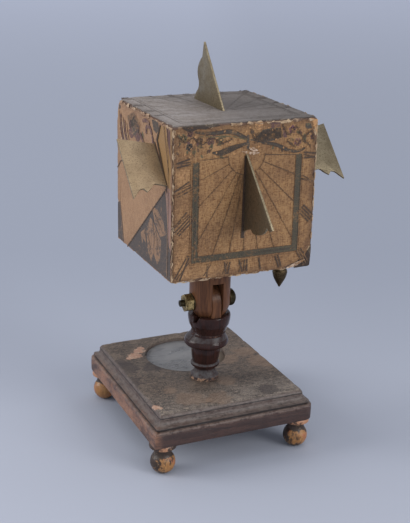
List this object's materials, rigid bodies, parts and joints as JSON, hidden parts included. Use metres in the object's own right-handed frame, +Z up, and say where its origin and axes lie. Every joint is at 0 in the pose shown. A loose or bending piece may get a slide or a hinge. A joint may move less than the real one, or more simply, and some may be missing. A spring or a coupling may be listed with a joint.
{
  "type": "polyhedral sundial",
  "caption": "Papered wooden cube sundial with brass gnomons, tilting on a turned pillar over a moulded base with an inset compass and ball feet.",
  "frame": {"origin": "on the floor, on the axis of the pillar", "axes": "+Z up, -Y towards the south dial's side, +X to the east"},
  "size_m": [0.103, 0.1244, 0.1949],
  "materials": {
    "dark_wood": "worn dark stain",
    "pale_wood": "bare and worn",
    "red_wood": "waxed",
    "dial_paper": "printed, coloured and aged",
    "card": "aged",
    "brass": "dull and aged",
    "steel": "blued",
    "glass": "dulled",
    "thread": "aged linen"
  },
  "bodies": {
    "base": {"base_plate": "dark_wood", "foot_front_left": "pale_wood", "foot_front_right": "pale_wood", "foot_back_left": "pale_wood", "foot_back_right": "pale_wood", "compass_card": "card", "compass_pivot": "brass", "compass_glass": "glass", "pillar": "dark_wood"},
    "head": {"fork": "red_wood", "hinge_bolt": "brass", "washer_west": "brass", "washer_east": "brass", "block": "pale_wood", "dial_top": "dial_paper", "dial_south": "dial_paper", "dial_north": "dial_paper", "dial_east": "dial_paper", "dial_west": "dial_paper", "gnomon_top": "brass", "gnomon_south": "brass", "gnomon_north": "brass", "gnomon_east": "brass", "gnomon_west": "brass", "plumb_nail": "brass"},
    "needle": {"compass_needle": "steel", "needle_cap": "brass"},
    "nut": {"clamp_nut": "brass"},
    "plumb": {"plumb_line": "thread", "plumb_bob": "brass"}
  },
  "joints": [
    {"name": "head_tilt", "type": "hinge", "parent": "base", "child": "head", "pos_m": [0, 0, 0.0721], "axis": [1, 0, 0], "range_deg": [-40, 40]},
    {"name": "needle_spin", "type": "hinge", "parent": "base", "child": "needle", "pos_m": [0, 0.029, 0.0265], "axis": [0, 0, 1], "continuous": true},
    {"name": "nut_turn", "type": "hinge", "parent": "head", "child": "nut", "pos_m": [-0.01175, 0, 0.0721], "axis": [-1, 0, 0], "range_deg": [0, 360]},
    {"name": "plumb_swing", "type": "hinge", "parent": "head", "child": "plumb", "pos_m": [0.0396, 0.0025, 0.1599], "axis": [1, 0, 0], "range_deg": [-45, 45]}
  ]
}
